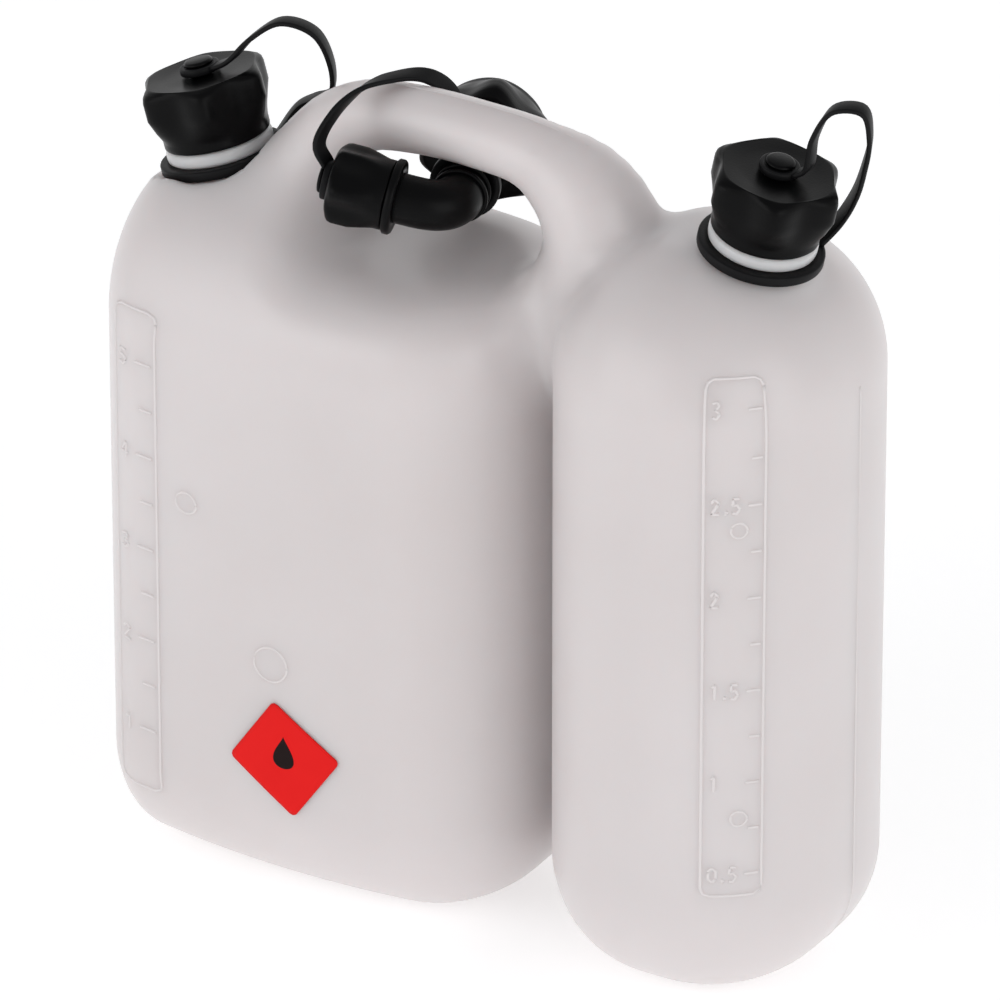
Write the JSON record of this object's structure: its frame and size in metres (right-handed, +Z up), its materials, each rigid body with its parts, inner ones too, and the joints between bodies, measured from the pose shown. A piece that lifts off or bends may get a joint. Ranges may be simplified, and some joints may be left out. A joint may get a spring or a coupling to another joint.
{
  "type": "dual fuel and oil can",
  "caption": "Blow-moulded double canister with a fuel tank and an oil tank side by side, bar handle, tethered star caps and a stowed pouring spout",
  "frame": {"origin": "centre of the standing plane, midway along and across the can", "axes": "+Z up and longest, +X along the can from the fuel tank to the oil tank, the front face with the sticker looks along -Y"},
  "size_m": [0.324, 0.1347, 0.381],
  "materials": {
    "natural_plastic": "natural translucent blow-moulded polyethylene, satin",
    "black_plastic": "black moulded plastic, satin",
    "strap_plastic": "black flexible plastic",
    "seal_rubber": "dark sealing rubber, matt",
    "red_label": "plain red film sticker, semi-gloss"
  },
  "bodies": {
    "can": {"can_body": "natural_plastic", "front_label": "red_label", "spout_tube": "black_plastic", "spout_gasket": "seal_rubber"},
    "fuel_strap": {"fuel_cap_strap": "strap_plastic"},
    "fuel_cap": {"fuel_cap": "black_plastic", "fuel_cap_gasket": "seal_rubber"},
    "oil_strap": {"oil_cap_strap": "strap_plastic"},
    "oil_cap": {"oil_cap": "black_plastic", "oil_cap_gasket": "seal_rubber"},
    "tip_strap": {"spout_strap": "strap_plastic"},
    "tip_cap": {"spout_tip_cap": "black_plastic", "spout_tip_gasket": "seal_rubber"},
    "spout_nut": {"spout_nut": "black_plastic"}
  },
  "joints": [
    {"name": "fuel_cap_rise", "type": "slide", "parent": "can", "child": "fuel_strap", "axis": [-0.2756, 0, 0.9613], "range_m": [0, 0.0081], "deforming": ["fuel_cap_strap"]},
    {"name": "fuel_cap_turn", "type": "hinge", "parent": "fuel_strap", "child": "fuel_cap", "pos_m": [-0.124, 0, 0.2905], "axis": [-0.2756, 0, 0.9613], "range_deg": [0, 720]},
    {"name": "oil_cap_rise", "type": "slide", "parent": "can", "child": "oil_strap", "axis": [0.2079, 0, 0.9781], "range_m": [0, 0.0081], "deforming": ["oil_cap_strap"]},
    {"name": "oil_cap_turn", "type": "hinge", "parent": "oil_strap", "child": "oil_cap", "pos_m": [0.117, 0, 0.312], "axis": [0.2079, 0, 0.9781], "range_deg": [0, 720]},
    {"name": "tip_cap_rise", "type": "slide", "parent": "can", "child": "tip_strap", "axis": [-0.9414, -0.2929, 0.1674], "range_m": [0, 0.0046], "deforming": ["spout_strap"]},
    {"name": "tip_cap_turn", "type": "hinge", "parent": "tip_strap", "child": "tip_cap", "pos_m": [-0.0295, -0.029, 0.311], "axis": [-0.9414, -0.2929, 0.1674], "range_deg": [0, 540]},
    {"name": "nut_turn", "type": "hinge", "parent": "can", "child": "spout_nut", "pos_m": [-0.026, 0.034, 0.306], "axis": [-0.3213, 0.9468, -0.0169], "continuous": true}
  ],
  "couplings": [
    {"joint": "fuel_cap_rise", "follows": "fuel_cap_turn", "m_per_rad": 0.00063662},
    {"joint": "oil_cap_rise", "follows": "oil_cap_turn", "m_per_rad": 0.00063662},
    {"joint": "tip_cap_rise", "follows": "tip_cap_turn", "m_per_rad": 0.00047746}
  ]
}
